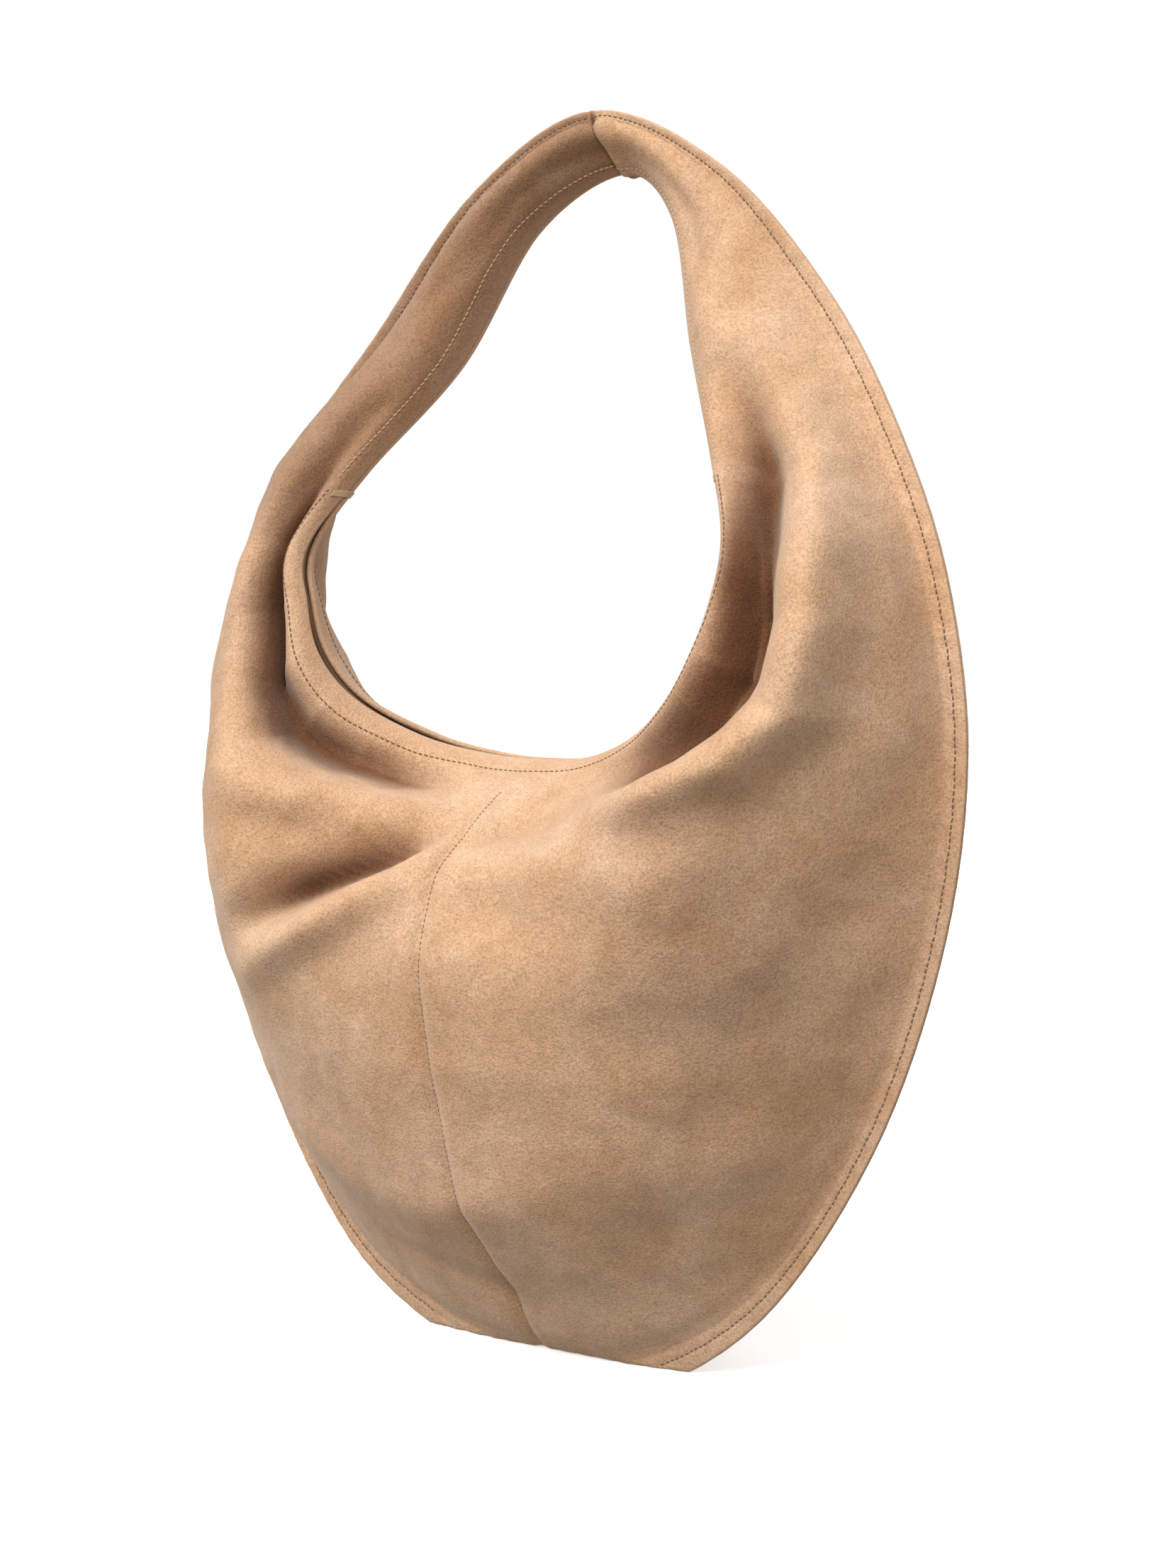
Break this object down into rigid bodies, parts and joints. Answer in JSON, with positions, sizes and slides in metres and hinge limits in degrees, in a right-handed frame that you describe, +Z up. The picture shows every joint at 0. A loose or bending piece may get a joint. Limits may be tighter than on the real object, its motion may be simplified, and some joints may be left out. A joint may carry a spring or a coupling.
{
  "type": "hobo bag",
  "caption": "Soft suede hobo bag whose curved half panels run up into one continuous shoulder strap, with an open crescent mouth and a fold-down strap",
  "frame": {"origin": "on the floor under the middle of the bag's box, between its sides and between its front and back", "axes": "+Z up towards the top of the strap, +X towards the wearer-side right end, front belly towards -Y"},
  "size_m": [0.4444, 0.1987, 0.6048],
  "materials": {
    "suede": "sand suede, napped",
    "facing_leather": "smooth tan leather",
    "lining_cotton": "twill",
    "snap_nickel": "satin nickel",
    "stay_tape": "woven tape",
    "thread": "twisted polyester"
  },
  "bodies": {
    "bag": {"front_panel_left": "suede", "front_panel_right": "suede", "back_panel_left": "suede", "back_panel_right": "suede", "front_facing": "facing_leather", "back_facing": "facing_leather", "front_lining": "lining_cotton", "back_lining": "lining_cotton", "inner_pocket": "lining_cotton", "front_magnet": "snap_nickel", "back_magnet": "snap_nickel", "front_edge_thread_left": "thread", "front_edge_thread_right": "thread", "back_edge_thread_left": "thread", "back_edge_thread_right": "thread", "front_lip_thread": "thread", "back_lip_thread": "thread", "front_centre_thread": "thread", "back_centre_thread": "thread", "bar_tack_left": "thread", "bar_tack_right": "thread"},
    "strap": {"front_strap_left": "suede", "front_strap_right": "suede", "back_strap_left": "suede", "back_strap_right": "suede", "strap_stay_left": "stay_tape", "strap_stay_right": "stay_tape", "front_strap_edge_thread": "thread", "back_strap_edge_thread": "thread", "front_strap_inner_thread": "thread", "back_strap_inner_thread": "thread", "front_top_thread": "thread", "back_top_thread": "thread"}
  },
  "joints": [
    {"name": "strap_fold", "type": "hinge", "parent": "bag", "child": "strap", "pos_m": [0, 0.006, 0.438], "axis": [1, 0, 0], "range_deg": [-50, 50]}
  ]
}
